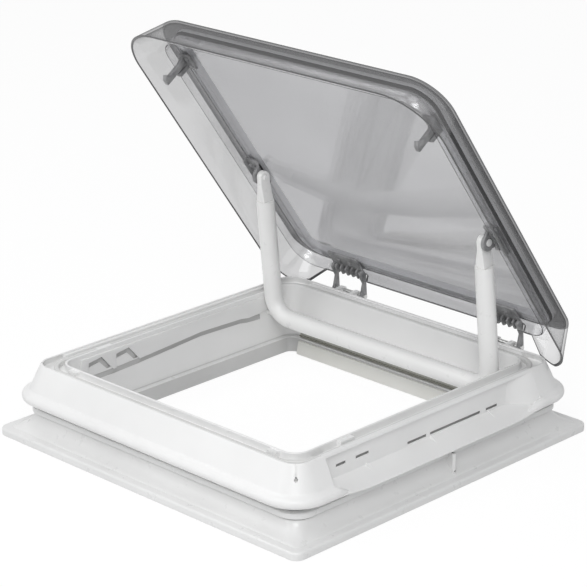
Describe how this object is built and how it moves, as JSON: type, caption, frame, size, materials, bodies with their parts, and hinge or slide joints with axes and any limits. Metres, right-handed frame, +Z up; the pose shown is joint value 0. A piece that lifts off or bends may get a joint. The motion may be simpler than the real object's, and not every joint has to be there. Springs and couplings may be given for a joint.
{
  "type": "caravan roof vent",
  "caption": "Square caravan roof vent: flanged white frame, hinged smoke double-skin lid and a U-shaped bail that props the lid open.",
  "frame": {"origin": "centre of the roof opening in the plane of the roof, under the flange", "axes": "+X along the hinge, +Y from the front edge to the hinge edge, +Z up out of the roof"},
  "size_m": [0.48, 0.48, 0.4548],
  "materials": {
    "white_abs": "satin",
    "white_upper": "satin",
    "smoke_outer": "clear smoke tint",
    "smoke_inner": "clear smoke tint",
    "grey_clip": "satin",
    "dark_rubber": "matt",
    "light_rubber": "matt",
    "steel": "plain",
    "white_bail": "satin",
    "beige_strip": "satin",
    "black_spacer": "matt"
  },
  "bodies": {
    "fixed_frame": {"base_frame": "white_abs", "roof_seal": "dark_rubber", "upper_frame": "white_upper", "frame_screws": "steel", "ledge_seal": "light_rubber", "rear_seal": "dark_rubber", "rear_strip": "beige_strip", "lid_seal": "light_rubber", "guide_rail_left": "white_upper", "guide_rail_right": "white_upper", "hinge_pin_left": "steel", "hinge_pin_right": "steel"},
    "lid": {"outer_dome": "smoke_outer", "inner_pan": "smoke_inner", "pane_spacer": "black_spacer", "hinge_hook_left": "grey_clip", "hinge_hook_right": "grey_clip", "bail_bracket_left": "grey_clip", "bail_bracket_right": "grey_clip", "latch_hook_left": "grey_clip", "latch_hook_right": "grey_clip", "bracket_screws": "steel", "pivot_pin_left": "white_bail", "pivot_pin_right": "white_bail"},
    "bail_arm": {"bail": "white_bail", "bail_end_left": "white_bail", "bail_end_right": "white_bail", "guide_pin_left": "white_bail", "guide_pin_right": "white_bail"}
  },
  "joints": [
    {"name": "lid_hinge", "type": "hinge", "parent": "fixed_frame", "child": "lid", "pos_m": [0, 0.226, 0.08], "axis": [1, 0, 0], "range_deg": [0, 54.5]},
    {"name": "bail_pivot", "type": "hinge", "parent": "lid", "child": "bail_arm", "pos_m": [0, 0.12462, 0.24107], "axis": [1, 0, 0], "range_deg": [-144, 0]}
  ],
  "couplings": [
    {"joint": "bail_pivot", "follows": "lid_hinge", "ratio": -2.642}
  ]
}
